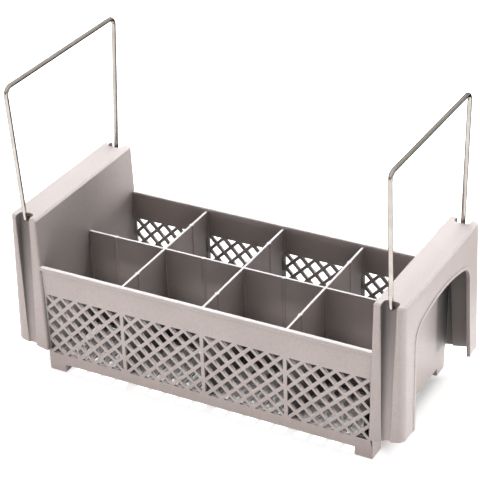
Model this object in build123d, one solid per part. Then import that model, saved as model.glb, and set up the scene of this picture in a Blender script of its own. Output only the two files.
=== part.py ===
from build123d import *
import math
import os

# Cutlery basket for a dishwasher rack: one moulded body with eight compartments between two
# hollow end housings, and a bent wire bail hinged in the grooves of each housing.
# X runs along the basket, Y across it, Z up; the feet stand on Z = 0.

# Basket
overall_length = 436.6
basket_length = 361.2
basket_width = 175.6
rim_height = 124.0
foot_height = 10.0
wall = 3.0
wall_lean = 0.75
lip_reach = 2.1
lip_height = 4.0
lip_round = 1.2
floor_thickness = 3.0

# Dividers
sections = 4
divider_thickness = 2.5
divider_drop = 3.5
ejector_rib = 4.6
ejector_rib_from_wall = 32.5

# Lattice of the long walls
lattice_columns = 5
lattice_rows = 4
lattice_bar = 3.5
lattice_mullion = 4.1
lattice_top_drop = 32.0
lattice_foot_rise = 12.2

# Open floor
floor_columns = 5
floor_rows = 2
floor_bar = 5.5

# Corner feet
foot_length = 19.2
foot_width = 20.0
foot_chamfer = 1.2

# End housings
housing_top = 177.5
housing_foot = 26.0
housing_foot_rise = 7.5
housing_width = 190.0
housing_draft = 1.0
housing_outer_corner = 7.0
housing_inner_corner = 3.0
housing_top_chamfer = 2.0
housing_top_plate = 3.0

# Arch for the hand in each housing
arch_width = 128.0
arch_foot_width = 139.0
arch_height = 117.2
arch_crown_radius = 190.0
arch_corner = 18.0
arch_lip_width = 4.0
arch_lip_height = 1.0
arch_lip_chamfer = 0.6

# Grooves that the bails stand in
groove_top_width = 16.0
groove_foot_width = 9.3
groove_top_depth = 11.0
groove_foot_depth = 2.5
groove_round = 4.0

# Wire bails, bent by hand, so that the left one stands taller and wider than the right one
wire = 4.5
pivot_drop = 6.5
pivot_clearance = 0.08
leg_gap = 2.4
pin_end_reach = 4.0
left_bail_height = 149.0
left_bail_splay = 12.2
right_bail_height = 141.5
right_bail_splay = 6.6
bail_corner = 8.0
bail_corner_steps = 3

# Allowance by which a cutting body runs past the face it opens
past = 2.0

# Places worked out from the sizes above
draft_slope = math.tan(math.radians(housing_draft))
lean_slope = math.tan(math.radians(wall_lean))
end_face_foot = basket_length / 2
housing_outer_foot = overall_length / 2 - arch_lip_height
outer_foot = housing_foot + housing_foot_rise
foot_slope = housing_foot_rise / (housing_outer_foot - end_face_foot)
housing_height = housing_top - housing_foot
rim_inner = basket_width / 2
wall_outer_rim = rim_inner + wall
divider_top = rim_height - divider_drop
wall_height = rim_height - foot_height


def end_face(z):
    """X of the end wall's face towards the basket."""
    return end_face_foot + (z - housing_foot) * draft_slope


def housing_outer(z):
    """X of a housing's outer face."""
    return housing_outer_foot - (z - outer_foot) * draft_slope


def foot_line(x):
    """Z of a housing's lower edge, which rises outwards."""
    return housing_foot + (x - end_face_foot) * foot_slope


def housing_side(z):
    """Y of a housing's side face."""
    return housing_width / 2 - (z - housing_foot) * draft_slope


def wall_outer(z):
    """Y of a long wall's outer face, which leans in towards the floor."""
    return wall_outer_rim - (rim_height - z) * lean_slope


wall_end = end_face(foot_height) + wall
inner_reach = wall_end - wall / 2
section_pitch = 2 * end_face(rim_height) / sections
pivot_x = (end_face(housing_top) + housing_outer(housing_top)) / 2
pivot_z = housing_top - pivot_drop


def groove_width(z):
    share = (z - housing_foot) / housing_height
    return groove_foot_width + share * (groove_top_width - groove_foot_width)


def groove_floor(z):
    """Y of the bottom of a groove, seen from the middle of the housing."""
    share = (z - housing_foot) / housing_height
    return housing_side(z) - groove_foot_depth - share * (groove_top_depth - groove_foot_depth)


leg_y = groove_floor(pivot_z) + leg_gap + wire / 2


def polygon_wire(points):
    return Wire.make_polygon([Vector(*point) for point in points], close=True)


def lattice_openings(width, height, columns, rows, bar):
    """Corner lists of the openings between crossed diagonal bars that fill a window from its lower left."""
    half_x = width / columns / 2
    half_y = height / rows / 2
    cell_reach = half_x * half_y / math.hypot(half_x, half_y)
    share = 1 - bar / 2 / cell_reach
    openings = []
    for i in range(2 * columns + 1):
        for j in range(2 * rows + 1):
            if (i + j) % 2 == 0:
                continue
            corners = []
            for step_x, step_y in ((-1, 0), (0, 1), (1, 0), (0, -1)):
                if 0 <= i + step_x <= 2 * columns and 0 <= j + step_y <= 2 * rows:
                    corners.append((half_x * (i + step_x * share), half_y * (j + step_y * share)))
            openings.append(corners)
    return openings


def long_wall():
    """Front wall: a leaning plate whose panels are crossed by diagonal bars."""
    lean = math.radians(wall_lean)
    face_up = Vector(0, -math.sin(lean), math.cos(lean))
    plane = Plane(
        origin=(0, -wall_outer(foot_height), foot_height),
        x_dir=(1, 0, 0),
        z_dir=Vector(1, 0, 0).cross(face_up),
    )
    up = (wall_height - lip_height / 2) / math.cos(lean)
    window_width = section_pitch - lattice_mullion
    window_foot = lattice_foot_rise
    window_height = wall_height / math.cos(lean) - lattice_top_drop - window_foot
    holes = []
    for section in range(sections):
        left = (section - sections / 2) * section_pitch + lattice_mullion / 2
        for corners in lattice_openings(window_width, window_height, lattice_columns, lattice_rows, lattice_bar):
            holes.append(polygon_wire([(left + x, window_foot + y, 0) for x, y in corners]))
    outline = polygon_wire([(-wall_end, -past, 0), (wall_end, -past, 0), (wall_end, up, 0), (-wall_end, up, 0)])
    plate = Solid.extrude(plane * Face(outline, holes), plane.z_dir * -wall)
    return split(plate, Plane.XY.offset(foot_height), keep=Keep.TOP)


def rim_lip():
    """Rounded bead along the top of the front wall."""
    width = wall + lip_reach
    bar = Pos(0, -rim_inner - width / 2, rim_height - lip_height / 2) * Box(2 * wall_end, width, lip_height)
    top_edges = bar.faces().sort_by(Axis.Z)[-1].edges().filter_by(Axis.X)
    return fillet(top_edges, lip_round)


def open_floor():
    """Floor plate with a grid of slots in each compartment."""
    half_width = wall_outer(foot_height) - wall / 2
    row_depth = wall_outer(foot_height) - wall
    holes = []
    for section in range(sections):
        for side in (-1, 1):
            left = (section - sections / 2) * section_pitch + divider_thickness / 2
            low = divider_thickness / 2 if side > 0 else -row_depth
            cell_x = (section_pitch - divider_thickness - floor_bar) / floor_columns
            cell_y = (row_depth - divider_thickness / 2 - floor_bar) / floor_rows
            for i in range(floor_columns):
                for j in range(floor_rows):
                    x = left + floor_bar + i * cell_x
                    y = low + floor_bar + j * cell_y
                    far_x = x + cell_x - floor_bar
                    far_y = y + cell_y - floor_bar
                    holes.append(polygon_wire([(x, y, 0), (far_x, y, 0), (far_x, far_y, 0), (x, far_y, 0)]))
    signs = ((-1, -1), (1, -1), (1, 1), (-1, 1))
    outline = polygon_wire([(x * inner_reach, y * half_width, 0) for x, y in signs])
    plate = Pos(0, 0, foot_height) * Face(outline, holes)
    return Solid.extrude(plate, Vector(0, 0, floor_thickness))


def dividers():
    """One long divider, the cross dividers and the round ribs that the ejector pins push on."""
    height = divider_top - foot_height
    middle = foot_height + height / 2
    reach = wall_outer(foot_height) - wall / 2
    rib_y = rim_inner - ejector_rib_from_wall
    rib_x = end_face(rim_height) - ejector_rib_from_wall
    plates = [Pos(0, 0, middle) * Box(2 * inner_reach, divider_thickness, height)]
    rib_places = [(-rib_x, 0), (rib_x, 0)]
    for number in range(1, sections):
        x = (number - sections / 2) * section_pitch
        plates.append(Pos(x, 0, middle) * Box(divider_thickness, 2 * reach, height))
        rib_places += [(x, -rib_y), (x, rib_y)]
    for number in range(1, sections - 1):
        rib_places.append(((number + 0.5 - sections / 2) * section_pitch, 0))
    ribs = [Pos(x, y, middle) * Cylinder(ejector_rib / 2, height) for x, y in rib_places]
    return plates + ribs


def corner_foot():
    """Hollow foot under the corner at +X, +Y, open below."""
    centre = Pos(wall_end - foot_length / 2, wall_outer(foot_height) - foot_width / 2, foot_height / 2)
    block = centre * Box(foot_length, foot_width, foot_height)
    block = chamfer(block.faces().sort_by(Axis.Z)[0].edges(), foot_chamfer)
    hollow = centre * Box(foot_length - 2 * wall, foot_width - 2 * wall, foot_height)
    return block - hollow


def crossed(lengthways, across):
    """Solid whose outline is lengthways seen along Y and across seen along X."""
    seen_along_y = Plane.XZ * make_face(Polyline(*lengthways, close=True))
    seen_along_x = Plane.YZ * make_face(Polyline(*across, close=True))
    return extrude(seen_along_y, amount=overall_length, both=True) & extrude(seen_along_x, amount=overall_length)


def lower_end_wall():
    """The end wall below the housing at +X, in line with the housing's inner wall."""
    top = housing_foot + wall
    reach = wall_outer(foot_height) - wall / 2
    slab = [(end_face(z), z) for z in (foot_height, top)] + [(end_face(z) + wall, z) for z in (top, foot_height)]
    return crossed(slab, [(-reach, foot_height), (-reach, top), (reach, top), (reach, foot_height)])


def is_upright(edge):
    return abs(edge.tangent_at(0.5).Z) > 0.9


def housing_block(inset, drop, top):
    """Block that tapers upwards, its faces moved in by inset and its lower edge moved down by drop."""
    inner_low = foot_line(end_face_foot + inset) - drop
    outer_low = foot_line(housing_outer_foot - inset) - drop
    inner_line = [(end_face(z) + inset, z) for z in (inner_low, top)]
    outer_line = [(housing_outer(z) - inset, z) for z in (top, outer_low)]
    front_line = [(inset - housing_side(z), z) for z in (inner_low, top)]
    back_line = [(housing_side(z) - inset, z) for z in (top, inner_low)]
    return crossed(inner_line + outer_line, front_line + back_line)


def groove_body(side, jacket):
    """Tapered body of the groove in one side face of the housing at +X, thickened all round by jacket."""
    foot = housing_foot - past
    top = housing_top + past
    mouth = side * (housing_width / 2 + past)
    left_line = [(pivot_x - groove_width(z) / 2 - jacket, z) for z in (foot, top)]
    right_line = [(pivot_x + groove_width(z) / 2 + jacket, z) for z in (top, foot)]
    floor_line = [(side * (groove_floor(z) - jacket), z) for z in (foot, top)]
    return crossed(left_line + right_line, floor_line + [(mouth, top), (mouth, foot)])


def arch_profile(grow):
    """Opening of the arch on the housing's outer face, widened by grow, from below the lower edge."""
    foot = arch_foot_width / 2 + grow
    crown = arch_height + grow
    radius = arch_crown_radius + grow
    side_slope = (arch_foot_width - arch_width) / 2 / arch_height
    low, high = [foot - side_slope * height for height in (-past, crown + past)]
    sides = Polyline((-low, -past), (low, -past), (high, crown + past), (-high, crown + past), close=True)
    face = make_face(sides) & Pos(0, crown - radius) * Circle(radius)
    return fillet(face.vertices().group_by(Axis.Y)[-1], arch_corner + grow)


def end_housing():
    """Hollow housing at +X, open below, with its arch, its grooves and the holes for the bail's pins."""
    block = housing_block(0, 0, housing_top)
    for place, radius in ((-1, housing_outer_corner), (0, housing_inner_corner)):
        block = fillet(block.edges().filter_by(is_upright).group_by(Axis.X)[place], radius)
    block = chamfer(block.faces().sort_by(Axis.Z)[-1].edges(), housing_top_chamfer)
    hollow = housing_block(wall, past, housing_top - housing_top_plate)
    for side in (-1, 1):
        hollow -= groove_body(side, wall)
    housing = block - hollow
    face_lean = math.radians(housing_draft)
    face_plane = Plane(
        origin=(housing_outer_foot, 0, outer_foot),
        x_dir=(0, 1, 0),
        z_dir=(math.cos(face_lean), 0, math.sin(face_lean)),
    )
    lip = extrude(face_plane * arch_profile(arch_lip_width), amount=arch_lip_height)
    outward = Axis(face_plane.origin, face_plane.z_dir)
    lip = chamfer(lip.faces().sort_by(outward)[-1].edges(), arch_lip_chamfer)
    lip += extrude(face_plane * arch_profile(arch_lip_width), amount=-wall / 2)
    housing += lip & housing_block(-past, 0, housing_top)
    housing -= extrude(face_plane * arch_profile(0), amount=2 * wall, both=True)
    for side in (-1, 1):
        groove = groove_body(side, 0)
        floor_edges = groove.edges().filter_by(is_upright).sort_by(Axis.Y, reverse=side < 0)[:2]
        housing -= fillet(floor_edges, groove_round)
        hole_middle = groove_floor(pivot_z) - wall / 2
        hole = Rot(90, 0, 0) * Cylinder(wire / 2 + pivot_clearance, 2 * wall)
        housing -= Pos(pivot_x, side * hole_middle, pivot_z) * hole
    return housing


def basket_body():
    front = [long_wall(), rim_lip()]
    pieces = front + [Rot(0, 0, 180) * piece for piece in front]
    pieces += [open_floor()] + dividers()
    foot = corner_foot()
    back_feet = [foot, mirror(foot, Plane.YZ)]
    pieces += back_feet + [mirror(piece, Plane.XZ) for piece in back_feet]
    ends = [end_housing(), lower_end_wall()]
    pieces += ends + [mirror(piece, Plane.YZ) for piece in ends]
    return Part() + pieces


def wire_corner(before, corner, after):
    """Points of a corner of the wire, bent in short straight steps."""
    arc = FilletPolyline(before, corner, after, radius=bail_corner).edges().filter_by(GeomType.CIRCLE)[0]
    points = [arc @ (step / bail_corner_steps) for step in range(bail_corner_steps + 1)]
    return sorted(points, key=lambda point: (point - Vector(*before)).length)


def bail(x, height, splay):
    """Wire bail standing upright over a housing, its two pins turned in through the groove floors."""
    pin_end = groove_floor(pivot_z) - wall - pin_end_reach
    bar_y = leg_y + splay
    bar_z = pivot_z + height
    front_foot, back_foot = [(x, y, pivot_z) for y in (-leg_y, leg_y)]
    front_top, back_top = [(x, y, bar_z) for y in (-bar_y, bar_y)]
    points = [(x, -pin_end, pivot_z), front_foot]
    points += wire_corner(front_foot, front_top, back_top)
    points += wire_corner(front_top, back_top, back_foot)
    points += [back_foot, (x, pin_end, pivot_z)]
    section = Plane(origin=points[0], z_dir=(0, -1, 0)) * Circle(wire / 2)
    return sweep(section, path=Polyline(*points), transition=Transition.RIGHT)


os.makedirs("parts", exist_ok=True)
export_step(basket_body(), "parts/basket_body.step")
export_step(bail(-pivot_x, left_bail_height, left_bail_splay), "parts/bail_left.step")
export_step(bail(pivot_x, right_bail_height, right_bail_splay), "parts/bail_right.step")
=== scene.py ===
# %% [markdown]
# # A dishwasher basket in moulded plastic with two wire bails
# The basket comes in as a ready CAD model: one moulded body and two bent wires. This lesson gives it
# the finishes that the eye expects, a plain white studio and a camera.

# %% Load the basket
import math

import bpy
from mathutils import Matrix, Vector


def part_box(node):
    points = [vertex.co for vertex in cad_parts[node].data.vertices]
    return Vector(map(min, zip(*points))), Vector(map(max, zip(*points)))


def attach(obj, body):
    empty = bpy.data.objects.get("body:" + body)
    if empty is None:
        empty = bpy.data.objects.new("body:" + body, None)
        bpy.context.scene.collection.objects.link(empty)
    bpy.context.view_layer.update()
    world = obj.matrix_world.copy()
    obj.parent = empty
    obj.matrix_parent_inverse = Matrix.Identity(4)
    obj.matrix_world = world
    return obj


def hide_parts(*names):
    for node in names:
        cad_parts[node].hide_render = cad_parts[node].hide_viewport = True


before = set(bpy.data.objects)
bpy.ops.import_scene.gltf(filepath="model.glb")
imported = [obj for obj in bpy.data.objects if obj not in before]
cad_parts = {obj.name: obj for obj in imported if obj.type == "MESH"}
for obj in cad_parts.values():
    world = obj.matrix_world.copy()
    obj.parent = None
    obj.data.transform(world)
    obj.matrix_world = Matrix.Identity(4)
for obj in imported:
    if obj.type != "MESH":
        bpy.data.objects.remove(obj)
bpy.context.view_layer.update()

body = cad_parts["basket_body"]
mm = 0.001

# %% [markdown]
# ## Soft edges on the moulding
# No moulded edge is sharp: the steel of the mould is rounded a little, and the plastic shrinks away
# from it. The edges could be rounded in the shader alone, but modifiers give real geometry that catches
# the light from every side. A loaded CAD mesh is cut apart along its edges and full of thin triangles,
# so it is welded and its flat faces are joined before the Bevel takes every edge over 30 degrees. The
# normals that came with the mesh are dropped, and the last modifier works out new ones, in which the
# large faces stay flat.

# %% Bevel the moulded body
edge_round = 0.4 * mm
edge_angle = math.radians(30)
flat_angle = math.radians(0.5)
weld_reach = 0.01 * mm
large_face_weight = 100
weld = body.modifiers.new("joined_faces", "WELD")
weld.merge_threshold = weld_reach
flat_faces = body.modifiers.new("whole_flat_faces", "DECIMATE")
flat_faces.decimate_type = "DISSOLVE"
flat_faces.angle_limit = flat_angle
soft_edges = body.modifiers.new("moulded_edges", "BEVEL")
soft_edges.limit_method = "ANGLE"
soft_edges.angle_limit = edge_angle
soft_edges.width = edge_round
soft_edges.segments = 2
soft_edges.use_clamp_overlap = False
flat_shading = body.modifiers.new("even_flat_shading", "WEIGHTED_NORMAL")
flat_shading.weight = large_face_weight
body.data.attributes.remove(body.data.attributes["custom_normal"])
body.data.shade_smooth()
print("moulded edges rounded to", edge_round / mm, "mm")

# %% [markdown]
# ## Bent wire
# Each bail is one length of stainless wire, bent twice at the top and turned in at both feet, where its
# ends are the pins that it swings on. A swept tube could be modelled ring by ring, but a Bezier curve
# with a round bevel gives the true bends: two points a bend, with handles set for a circular arc.

# %% One bent wire
wire_radius = 2.25 * mm
wire_roundness = 6
bend_steps = 10
pin_level = 171.0 * mm
pin_end, leg_foot = 74.83 * mm, 86.48 * mm
foot_bend, top_bend = 4.0 * mm, 8.0 * mm
bends = (foot_bend, top_bend, top_bend, foot_bend)


def bezier_stops(corners):
    stops = [(corners[0], corners[0], corners[0])]
    for before, corner, after, radius in zip(corners, corners[1:], corners[2:], bends):
        back = (before - corner).normalized()
        ahead = (after - corner).normalized()
        half_turn = (math.pi - back.angle(ahead)) / 2
        reach = radius * math.tan(half_turn)
        handle = radius * 4 / 3 * math.tan(half_turn / 2)
        start, end = corner + back * reach, corner + ahead * reach
        stops.append((start, start + back * handle, start - back * handle))
        stops.append((end, end - ahead * handle, end + ahead * handle))
    stops.append((corners[-1], corners[-1], corners[-1]))
    return stops


def bend_wire(name, x, height, splay):
    top = pin_level + height
    corners = [(-pin_end, pin_level), (-leg_foot, pin_level), (-leg_foot - splay, top),
               (leg_foot + splay, top), (leg_foot, pin_level), (pin_end, pin_level)]
    stops = bezier_stops([Vector((x, y, z)) for y, z in corners])
    line = bpy.data.curves.new(name, "CURVE")
    line.dimensions = "3D"
    line.bevel_depth = wire_radius
    line.bevel_resolution = wire_roundness
    line.resolution_u = bend_steps
    line.use_fill_caps = True
    spline = line.splines.new("BEZIER")
    spline.bezier_points.add(len(stops) - 1)
    for point, (place, left, right) in zip(spline.bezier_points, stops):
        point.co, point.handle_left, point.handle_right = place, left, right
    guide = bpy.data.objects.new(name + "_line", line)
    bpy.context.scene.collection.objects.link(guide)
    bpy.context.view_layer.update()
    mesh = bpy.data.meshes.new_from_object(guide.evaluated_get(bpy.context.evaluated_depsgraph_get()))
    bpy.data.objects.remove(guide)
    mesh.shade_smooth()
    wire = bpy.data.objects.new(name, mesh)
    bpy.context.scene.collection.objects.link(wire)
    return wire


print("wire of", 2 * wire_radius / mm, "mm, bent to radii of", foot_bend / mm, "and", top_bend / mm, "mm")

# %% [markdown]
# ## Two bails
# No two bent wires are quite alike: here the left one stands taller and spreads wider than the right one.
# Each new wire takes the place of the plainer CAD wire, on the same line, and swings with the same body.
# The CAD wires could have been dressed instead, but they have each bend in a few straight steps.

# %% Bend the two bails
bails = []
for side, height, splay in (("left", 149.0 * mm, 12.2 * mm), ("right", 141.5 * mm, 6.6 * mm)):
    node = "bail_" + side
    low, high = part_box(node)
    wire = bend_wire(side + "_bail_wire", (low.x + high.x) / 2, height, splay)
    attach(wire, side + "_bail")
    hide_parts(node)
    bails.append(wire)
    print(wire.name, "has", len(wire.data.polygons), "faces")

# %% [markdown]
# ## Small helpers for materials
# Colours are easiest to note as the hex values that a screen shows. Blender mixes light in linear
# values, so one function turns hex into linear. Another adds a node, sets it and links it, which keeps
# each material readable from top to bottom: a value given by name or by number, such as _1, goes to that
# input, as a link where it is another node's output. Numbers are needed where names repeat: a Mix node
# has its A and B once for each kind of data, and those for colours are 6 and 7, with the result at 2.
# A third function starts a material.

# %% Helpers for colour and nodes
def linear(hex_colour):
    values = [int(hex_colour[i:i + 2], 16) / 255 for i in (1, 3, 5)]
    return tuple(v / 12.92 if v <= 0.04045 else ((v + 0.055) / 1.055) ** 2.4 for v in values) + (1.0,)


def add_node(tree, kind, settings=None, **inputs):
    node = tree.nodes.new(kind)
    for name, value in (settings or {}).items():
        if hasattr(node, name):
            setattr(node, name, value)
        else:
            node.inputs[name].default_value = value
    for name, value in inputs.items():
        socket = node.inputs[int(name[1:]) if name[1:].isdigit() else name]
        if isinstance(value, bpy.types.NodeSocket):
            tree.links.new(value, socket)
        else:
            socket.default_value = value
    return node


def start_material(name):
    material = bpy.data.materials.new(name)
    material.use_nodes = True
    return material, material.node_tree, material.node_tree.nodes["Principled BSDF"]


print("half grey in linear light:", round(linear("#808080")[0], 3))

# %% [markdown]
# ## Moulded polypropylene
# The body is injection-moulded polypropylene in a warm light grey. The steel of the mould was spark
# eroded, which leaves a fine even grain that spreads highlights, and the flow of the melt leaves very
# faint clouds in the shade. One flat colour would look like paint, so a Noise Texture as wide as such
# clouds mixes two shades.

# %% Plastic of the body
plastic, tree, shader = start_material("moulded_polypropylene_warm_grey")
shader.inputs["IOR"].default_value = 1.49
place = add_node(tree, "ShaderNodeTexCoord").outputs["Object"]
flow_size = 60 * mm
cloud_edge, cloud_core = 0.3, 0.7
flow = add_node(tree, "ShaderNodeTexNoise", {"Scale": 1 / flow_size, "Detail": 3.0}, Vector=place)
clouds = add_node(tree, "ShaderNodeMapRange", {"From Min": cloud_edge, "From Max": cloud_core},
                  Value=flow.outputs["Fac"])
shade = add_node(tree, "ShaderNodeMix", {"data_type": "RGBA"}, Factor=clouds.outputs["Result"],
                 _6=linear("#C4B7B3"), _7=linear("#CBBEBA"))
print("clouds in the plastic", round(flow_size / mm), "mm wide")

# %% [markdown]
# ## Painted shade in the recesses
# Deep in the compartments, in the grooves and behind the arches the colour is darkened, as painted
# shade. It could be painted by hand, but an Ambient Occlusion node finds such places by itself: it
# measures how open the air is over each point, out to 60 mm. The less open it is, the darker the
# painted shade.

# %% Painted shade in the compartments
painted_shade_reach = 60 * mm
air_of_darkest_painted_shade, air_of_lightest_painted_shade = 0.1, 0.45
air_of_full_painted_shade, air_of_unshaded_face = 0.3, 0.98
open_air = add_node(tree, "ShaderNodeAmbientOcclusion",
                    {"samples": 8, "only_local": True, "Distance": painted_shade_reach}).outputs["AO"]
pale = add_node(tree, "ShaderNodeMapRange",
                {"From Min": air_of_darkest_painted_shade, "From Max": air_of_lightest_painted_shade}, Value=open_air)
# painted shade: the colours that darken the recesses, from dark to lighter grey
painted_shade = add_node(tree, "ShaderNodeMix", {"data_type": "RGBA"}, Factor=pale.outputs["Result"],
                _6=linear("#4C4E4D"), _7=linear("#85807D"))
unshaded = add_node(tree, "ShaderNodeMapRange",
                 {"From Min": air_of_full_painted_shade, "From Max": air_of_unshaded_face}, Value=open_air)
# painted shade mixed over the plastic's colour where the air is less open
colour = add_node(tree, "ShaderNodeMix", {"data_type": "RGBA"}, Factor=unshaded.outputs["Result"],
                  _6=painted_shade.outputs[2], _7=shade.outputs[2])
print("film in recesses up to", round(painted_shade_reach / mm), "mm wide")

# %% [markdown]
# ## Painted shade behind the lattice
# The inner side of the lattice and the low parts of the compartments get a darker colour, as painted
# shade, and the outer faces keep their own. The Ambient Occlusion node can't find it, because the
# lattice is open, so the place of each point does: its distance from the middle of the basket, along
# and across, and its height.

# %% Painted shade on the inner side of the lattice
# a near black colour for painted shade, seen through the lattice holes
painted_deep_shade_colour = linear("#3A3635")
shade_fade = 2.5 * mm
inner_half_length, inner_half_width = 178 * mm, 84.5 * mm
lattice_top = 92 * mm
low_part_top, low_part_full = 78 * mm, 38 * mm
on_lattice, low_down = 0.9, 0.75
mirrored = add_node(tree, "ShaderNodeVectorMath", {"operation": "ABSOLUTE"}, _0=place)
from_middle = add_node(tree, "ShaderNodeSeparateXYZ", Vector=mirrored.outputs["Vector"]).outputs
at_wall = add_node(tree, "ShaderNodeMapRange",
                   {"From Min": inner_half_width - 2 * shade_fade,
                    "From Max": inner_half_width - shade_fade}, Value=from_middle["Y"])
in_lattice = add_node(tree, "ShaderNodeMapRange",
                      {"From Min": lattice_top + shade_fade, "From Max": lattice_top - shade_fade,
                       "To Max": on_lattice}, Value=from_middle["Z"])
in_lattice = add_node(tree, "ShaderNodeMath", {"operation": "MULTIPLY"},
                      _0=at_wall.outputs["Result"], _1=in_lattice.outputs["Result"])
near_floor = add_node(tree, "ShaderNodeMapRange",
                      {"From Min": low_part_top, "From Max": low_part_full, "To Max": low_down},
                      Value=from_middle["Z"])
painted_lattice_shade = add_node(tree, "ShaderNodeMath", {"operation": "MAXIMUM"},
                   _0=in_lattice.outputs[0], _1=near_floor.outputs["Result"])
for axis, inner_half in (("Y", inner_half_width), ("X", inner_half_length)):
    within = add_node(tree, "ShaderNodeMapRange",
                      {"From Min": inner_half + shade_fade, "From Max": inner_half},
                      Value=from_middle[axis])
    painted_lattice_shade = add_node(tree, "ShaderNodeMath", {"operation": "MULTIPLY"},
                       _0=painted_lattice_shade.outputs[0], _1=within.outputs["Result"])
# painted shade on the inner side of the lattice and low in the compartments
colour = add_node(tree, "ShaderNodeMix", {"data_type": "RGBA"}, Factor=painted_lattice_shade.outputs[0],
                  _6=colour.outputs[2], _7=painted_deep_shade_colour)
print("residue up to", round(lattice_top / mm), "mm on the lattice,", round(low_part_top / mm), "mm inside")

# %% [markdown]
# ## Painted shade in the grooves
# Each groove is painted darker, as painted shade, which is strongest at the pin and fades downwards. A
# painted mask could give it, but three bounds are enough: the width of a groove round the pivot, the
# outer end of the housing, and a height below its top.

# %% Painted shade in the grooves, darkest at the pins
pivot_from_middle = 199 * mm
groove_half = 8.5 * mm
groove_shade_foot, groove_top = 100 * mm, 176 * mm
full_groove_shade = 0.38
in_groove = add_node(tree, "ShaderNodeMath", {"operation": "COMPARE"},
                     _0=from_middle["X"], _1=pivot_from_middle, _2=groove_half)
at_end = add_node(tree, "ShaderNodeMath", {"operation": "GREATER_THAN"},
                  _0=from_middle["Y"], _1=inner_half_width - 2 * shade_fade)
below_top = add_node(tree, "ShaderNodeMath", {"operation": "LESS_THAN"},
                     _0=from_middle["Z"], _1=groove_top)
painted_groove_shade = add_node(tree, "ShaderNodeMapRange",
                 {"From Min": groove_shade_foot, "From Max": groove_top, "To Max": full_groove_shade},
                 Value=from_middle["Z"])
for bound in (in_groove, at_end, below_top):
    painted_groove_shade = add_node(tree, "ShaderNodeMath", {"operation": "MULTIPLY"},
                     _0=painted_groove_shade.outputs[0], _1=bound.outputs[0])
# painted shade in the grooves, darkest near the top and fading downwards
colour = add_node(tree, "ShaderNodeMix", {"data_type": "RGBA"}, Factor=painted_groove_shade.outputs[0],
                  _6=colour.outputs[2], _7=painted_deep_shade_colour)
print("painted_shade_in_grooves from", round(groove_shade_foot / mm), "to", round(groove_top / mm), "mm up")

# %% [markdown]
# ## Painted highlights on the edges
# Every edge gets a paler colour, as a painted highlight. It could be drawn edge by edge, but a Bevel
# node finds them all: it bends the normal only near an edge, so the angle between it and the true
# normal marks the edges. A Noise Texture then breaks the painted highlights into patches.

# %% Painted highlights on the edges of the plastic
highlight_reach, highlight_patch_size = 0.6 * mm, 4 * mm
first_turn, full_turn = 0.998, 0.96
faint_highlight, strong_highlight = 0.45, 0.95
patch_edge, patch_core = 0.3, 0.6
rounded = add_node(tree, "ShaderNodeBevel", {"samples": 6, "Radius": highlight_reach})
true_normal = add_node(tree, "ShaderNodeNewGeometry").outputs["Normal"]
turned = add_node(tree, "ShaderNodeVectorMath", {"operation": "DOT_PRODUCT"},
                  _0=rounded.outputs["Normal"], _1=true_normal)
on_edge = add_node(tree, "ShaderNodeMapRange", {"From Min": first_turn, "From Max": full_turn},
                   Value=turned.outputs["Value"])
highlight_breakup = add_node(tree, "ShaderNodeTexNoise", {"Scale": 1 / highlight_patch_size, "Detail": 4.0}, Vector=place)
patchy = add_node(tree, "ShaderNodeMapRange",
                  {"From Min": patch_edge, "From Max": patch_core,
                   "To Min": faint_highlight, "To Max": strong_highlight},
                  Value=highlight_breakup.outputs["Fac"])
# painted highlight along every edge, broken into patches
painted_edge_highlight = add_node(tree, "ShaderNodeMath", {"operation": "MULTIPLY"},
                     _0=on_edge.outputs["Result"], _1=patchy.outputs["Result"])
print("painted_edge_highlights reach", highlight_reach / mm, "mm from each edge")

# %% [markdown]
# ## Painted highlights on the rims
# On the rims and the tops of the dividers the whole top is paler, not only its edges, as a painted
# highlight. A second material on those faces would end in a hard line, so the height of a point and the
# way it faces decide: at the level of the rims, the more it faces up, the paler it is.

# %% Painted highlights on the rims of the plastic
# a pale colour for the painted highlights on the edges and the rims
painted_highlight_colour = linear("#EDE7E5")
rim_level, rim_reach = 122 * mm, 3.5 * mm
steep, nearly_level = 0.1, 0.7
full_rim_highlight = 0.6
at_rim = add_node(tree, "ShaderNodeMath", {"operation": "COMPARE"},
                  _0=from_middle["Z"], _1=rim_level, _2=rim_reach)
facing = add_node(tree, "ShaderNodeSeparateXYZ", Vector=true_normal)
upward = add_node(tree, "ShaderNodeMapRange",
                  {"From Min": steep, "From Max": nearly_level, "To Max": full_rim_highlight},
                  Value=facing.outputs["Z"])
painted_rim_highlight = add_node(tree, "ShaderNodeMath", {"operation": "MULTIPLY"},
                      _0=at_rim.outputs[0], _1=upward.outputs["Result"])
painted_edge_and_rim_highlight = add_node(tree, "ShaderNodeMath", {"operation": "MAXIMUM"},
                _0=painted_edge_highlight.outputs[0], _1=painted_rim_highlight.outputs[0])
# painted highlights on the edges and the rims, mixed over the plastic's colour
colour = add_node(tree, "ShaderNodeMix", {"data_type": "RGBA"}, Factor=painted_edge_and_rim_highlight.outputs[0],
                  _6=colour.outputs[2], _7=painted_highlight_colour)
print("rims highlighted within", rim_reach / mm, "mm of", round(rim_level / mm), "mm up")

# %% [markdown]
# ## Sheen and grain
# Seen close, the spark-eroded skin is a field of tiny pits. The pits break up the light, which a Bump
# node gives, and the same noise darkens the colour a little there, which shows as fine flecks. The real
# pits are about half as wide as these: the pattern is drawn coarser, so that a picture of the whole
# basket shows it.
# Handling polishes the skin unevenly, so a wider Noise Texture lets the roughness wander.

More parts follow.
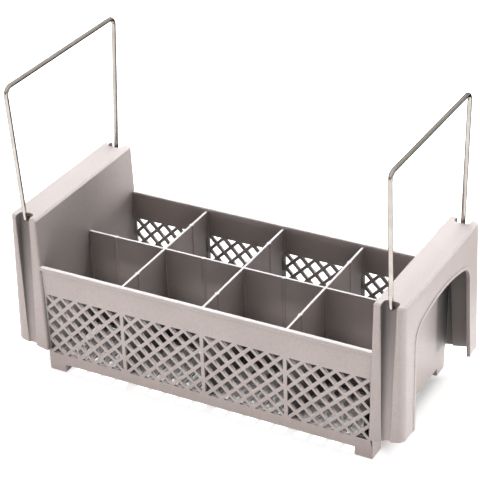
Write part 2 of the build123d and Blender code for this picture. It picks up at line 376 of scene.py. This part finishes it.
# %% Sheen and grain of the plastic
rub_size = 25 * mm
polished, dull = 0.42, 0.55
rub = add_node(tree, "ShaderNodeTexNoise", {"Scale": 1 / rub_size, "Detail": 4.0}, Vector=place)
sheen = add_node(tree, "ShaderNodeMapRange", {"To Min": polished, "To Max": dull}, Value=rub.outputs["Fac"])
tree.links.new(sheen.outputs["Result"], shader.inputs["Roughness"])
grain_size, pit_depth = 1.2 * mm, 0.2 * mm
pit_edge, pit_core = 0.52, 0.75
full_fleck, relief_strength = 0.4, 0.3
grain = add_node(tree, "ShaderNodeTexNoise", {"Scale": 1 / grain_size, "Detail": 2.0}, Vector=place)
pits = add_node(tree, "ShaderNodeMapRange",
                {"From Min": pit_edge, "From Max": pit_core, "To Max": full_fleck},
                Value=grain.outputs["Fac"])
colour = add_node(tree, "ShaderNodeMix", {"data_type": "RGBA"}, Factor=pits.outputs["Result"],
                  _6=colour.outputs[2], _7=linear("#948985"))
tree.links.new(colour.outputs[2], shader.inputs["Base Color"])
relief = add_node(tree, "ShaderNodeBump",
                  {"invert": True, "Strength": relief_strength, "Distance": pit_depth},
                  Height=grain.outputs["Fac"])
tree.links.new(relief.outputs["Normal"], shader.inputs["Normal"])
body.data.materials.clear()
body.data.materials.append(plastic)
print("plastic grain", grain_size / mm, "mm")

# %% [markdown]
# ## Drawn stainless wire
# The bails are stainless spring wire. Drawing it through a die leaves it bright and smooth, so it mirrors
# the white table in some places and the dim room in others. A plain mirror would look like chrome, so a
# Noise Texture stains it a little and dulls it here and there.

# %% Steel of the bails
steel, tree, shader = start_material("drawn_stainless_wire")
shader.inputs["Metallic"].default_value = 1.0
shader.inputs["Specular Tint"].default_value = linear("#A79E97")
place = add_node(tree, "ShaderNodeTexCoord").outputs["Object"]
stain_size = 12 * mm
stain_edge, stain_core = 0.7, 0.35
bright, dulled = 0.08, 0.18
stain = add_node(tree, "ShaderNodeTexNoise", {"Scale": 1 / stain_size, "Detail": 3.0}, Vector=place)
stained = add_node(tree, "ShaderNodeMapRange", {"From Min": stain_edge, "From Max": stain_core},
                   Value=stain.outputs["Fac"])
tone = add_node(tree, "ShaderNodeMix", {"data_type": "RGBA"}, Factor=stained.outputs["Result"],
                _6=linear("#BBB3AC"), _7=linear("#ABA39C"))
tree.links.new(tone.outputs[2], shader.inputs["Base Color"])
gloss = add_node(tree, "ShaderNodeMapRange", {"To Min": bright, "To Max": dulled},
                 Value=stain.outputs["Fac"])
tree.links.new(gloss.outputs["Result"], shader.inputs["Roughness"])
for bail in bails:
    bail.data.materials.clear()
    bail.data.materials.append(steel)
print("wire finish on", len(bails), "bails")

# %% [markdown]
# ## White studio
# The basket stands on a large pale sheet, just below its feet, so that the two never share a plane. One
# of Blender's ready planes would do, but the studio needs a second flat sheet further on, in another
# shape and place, so one function makes both from their corners.

# %% Floor sheet
def flat_sheet(name, half_width, near, far, level):
    corners = [(-half_width, near, 0), (half_width, near, 0), (half_width, far, 0), (-half_width, far, 0)]
    mesh = bpy.data.meshes.new(name)
    mesh.from_pydata(corners, [], [(0, 1, 2, 3)])
    sheet = bpy.data.objects.new(name, mesh)
    sheet.location.z = level
    bpy.context.scene.collection.objects.link(sheet)
    return sheet


floor_half = 100.0
just_below_feet = -0.2 * mm
floor = flat_sheet("studio_floor", floor_half, -floor_half, floor_half, just_below_feet)
print("floor of", 2 * floor_half, "m")

# %% [markdown]
# ## Paper that turns white
# Stronger lamps could turn the sheet white, but they would bleach the plastic too. Instead, a little
# glow that only the camera and mirror rays see lifts the sheet to white, from near the basket's foot
# outwards, and the basket's own shadow stays close to it.

# %% Paper of the floor
matt_roughness = 0.9
white = (1, 1, 1, 1)
glow_start = (160 * mm, 40 * mm, 0.0)
glow_rise = 45 * mm
full_glow = 0.82


def seen_rays(tree):
    ray = add_node(tree, "ShaderNodeLightPath").outputs
    seen = ray["Is Camera Ray"]
    for way in ("Is Glossy Ray", "Is Transmission Ray"):
        seen = add_node(tree, "ShaderNodeMath", {"operation": "MAXIMUM"}, _0=seen, _1=ray[way]).outputs[0]
    return seen


paper, tree, shader = start_material("white_studio_paper")
shader.inputs["Base Color"].default_value = linear("#EBEAE9")
shader.inputs["Roughness"].default_value = matt_roughness
place = add_node(tree, "ShaderNodeTexCoord").outputs["Object"]
mirrored = add_node(tree, "ShaderNodeVectorMath", {"operation": "ABSOLUTE"}, _0=place)
beside = add_node(tree, "ShaderNodeVectorMath", {"operation": "SUBTRACT"},
                  _0=mirrored.outputs["Vector"], _1=glow_start)
beside = add_node(tree, "ShaderNodeSeparateXYZ", Vector=beside.outputs["Vector"])
away = add_node(tree, "ShaderNodeMath", {"operation": "MAXIMUM"},
                _0=beside.outputs["X"], _1=beside.outputs["Y"])
lift = add_node(tree, "ShaderNodeMapRange",
                {"interpolation_type": "SMOOTHSTEP", "From Max": glow_rise, "To Max": full_glow},
                Value=away.outputs[0])
glow = add_node(tree, "ShaderNodeMath", {"operation": "MULTIPLY"},
                _0=seen_rays(tree), _1=lift.outputs["Result"])
shader.inputs["Emission Color"].default_value = white
tree.links.new(glow.outputs[0], shader.inputs["Emission Strength"])
floor.data.materials.append(paper)
print("the glow of the paper rises over", round(glow_rise / mm), "mm")

# %% [markdown]
# ## A dark card for the wire
# A bright wire on a white table would vanish. A darker wire would look like iron, so this does what
# photographers do: they lay a dark card behind such an object, out of the picture. The wire mirrors it,
# and gets its dark lines. Here only mirror rays see the card.

# %% Dark card behind the basket
card_near, card_far, card_half = 0.22, 2.2, 1.6
just_above_floor = 1 * mm
card = flat_sheet("dark_card", card_half, card_near, card_far, just_above_floor)
card.visible_camera = card.visible_diffuse = card.visible_shadow = card.visible_transmission = False
dark, tree, shader = start_material("matt_dark_card")
shader.inputs["Base Color"].default_value = linear("#2E2725")
shader.inputs["Roughness"].default_value = matt_roughness
card.data.materials.append(dark)
print("dark card of", 2 * card_half, "by", round(card_far - card_near, 2), "m")

# %% [markdown]
# ## Room around the table
# Bare wire shows the room in its curves. One even grey would leave it flat, so this room is dim in front
# and lighter behind, which gives the wire its dark and bright lines. For rays that are seen, a white
# sweep low down hides the end of the floor, and the ceiling is white.

# %% Room
world = bpy.data.worlds.new("studio_room")
bpy.context.scene.world = world
world.use_nodes = True
tree = world.node_tree
room = tree.nodes["Background"]
lighter_side = (-0.25, 0.95, 0.0)
front_level, rear_level = 0.18, 0.4
fully_behind = 0.5
sweep_top, sweep_full = 0.25, 0.1
ceiling_start, ceiling_full = 0.3, 0.5
place = add_node(tree, "ShaderNodeTexCoord").outputs["Generated"]
behind = add_node(tree, "ShaderNodeVectorMath", {"operation": "DOT_PRODUCT"}, _0=place, _1=lighter_side)
level = add_node(tree, "ShaderNodeMapRange",
                 {"From Max": fully_behind, "To Min": front_level, "To Max": rear_level},
                 Value=behind.outputs["Value"])
rise = add_node(tree, "ShaderNodeSeparateXYZ", Vector=place).outputs["Z"]
sweep = add_node(tree, "ShaderNodeMapRange", {"From Min": sweep_top, "From Max": sweep_full}, Value=rise)
ceiling = add_node(tree, "ShaderNodeMapRange", {"From Min": ceiling_start, "From Max": ceiling_full},
                   Value=rise)
backdrop = add_node(tree, "ShaderNodeMath", {"operation": "ADD"},
                    _0=sweep.outputs["Result"], _1=ceiling.outputs["Result"])
backdrop = add_node(tree, "ShaderNodeMath", {"operation": "MULTIPLY"},
                    _0=backdrop.outputs[0], _1=seen_rays(tree))
level = add_node(tree, "ShaderNodeMath", {"operation": "MAXIMUM"},
                 _0=level.outputs["Result"], _1=backdrop.outputs[0])
tree.links.new(level.outputs[0], room.inputs["Strength"])
room.inputs["Color"].default_value = white
print("room from", front_level, "in front to", rear_level, "behind")

# %% [markdown]
# ## Soft lamps
# Three soft boxes: a strong one above and a little behind, which makes every top pale and leaves the
# compartments dim, and two low ones for the front and for the right end. Bare bulbs would give hard
# shadows. The boxes stay out of reflections, where their outlines would cut the wire into white patches.

# %% Lamps
lamp_target = Vector((0.0, 0.0, 0.1))
cool, warm, neutral = (0.91, 0.965, 1.0), (1.0, 0.94, 0.91), (1.0, 1.0, 1.0)


def soft_lamp(name, place, width, height, power, colour):
    light = bpy.data.lights.new(name, "AREA")
    light.shape = "RECTANGLE"
    light.size, light.size_y = width, height
    light.energy = power
    light.color = colour
    lamp = bpy.data.objects.new(name, light)
    lamp.location = place
    lamp.rotation_euler = (lamp_target - Vector(place)).to_track_quat("-Z", "Y").to_euler()
    lamp.visible_glossy = False
    bpy.context.scene.collection.objects.link(lamp)
    print(name, "of", width, "by", height, "m,", power, "W")


soft_lamp("overhead_softbox", place=(-0.1, 0.6, 1.8), width=0.6, height=0.6, power=50, colour=cool)
soft_lamp("low_front_softbox", place=(-0.8, -2.0, 0.12), width=1.2, height=0.2, power=16.8, colour=warm)
soft_lamp("low_right_softbox", place=(1.8, 0.35, 0.12), width=0.3, height=0.2, power=14.5, colour=neutral)

# %% [markdown]
# ## Camera
# The photograph was taken from the front right and above, with a long lens and a slight tilt. A camera
# could be aimed with a Track To constraint, but that would keep it level. Here its three axes are worked
# out from the angles, the tilt among them.

# %% Camera at the photograph's angle
turn, rise, tilt = (math.radians(v) for v in (29.042, 29.320, 1.925))
camera_place = Vector((0.7501, -1.3562, 1.0226))
sensor_width, focal_length = 36.0, 134.04
view = Vector((-math.sin(turn) * math.cos(rise), math.cos(turn) * math.cos(rise), -math.sin(rise)))
level_right = Vector((math.cos(turn), math.sin(turn), 0))
level_down = view.cross(level_right)
right = math.cos(tilt) * level_right + math.sin(tilt) * level_down
down = math.cos(tilt) * level_down - math.sin(tilt) * level_right
lens = bpy.data.cameras.new("studio_camera")
lens.sensor_width = sensor_width
lens.lens = focal_length
camera = bpy.data.objects.new("studio_camera", lens)
axes = Matrix((right, -down, -view)).transposed().to_4x4()
camera.matrix_world = Matrix.Translation(camera_place) @ axes
bpy.context.scene.collection.objects.link(camera)
bpy.context.scene.camera = camera
bpy.context.scene.view_settings.view_transform = "Standard"
print("camera at", [round(v, 3) for v in camera_place], "lens", focal_length, "mm")
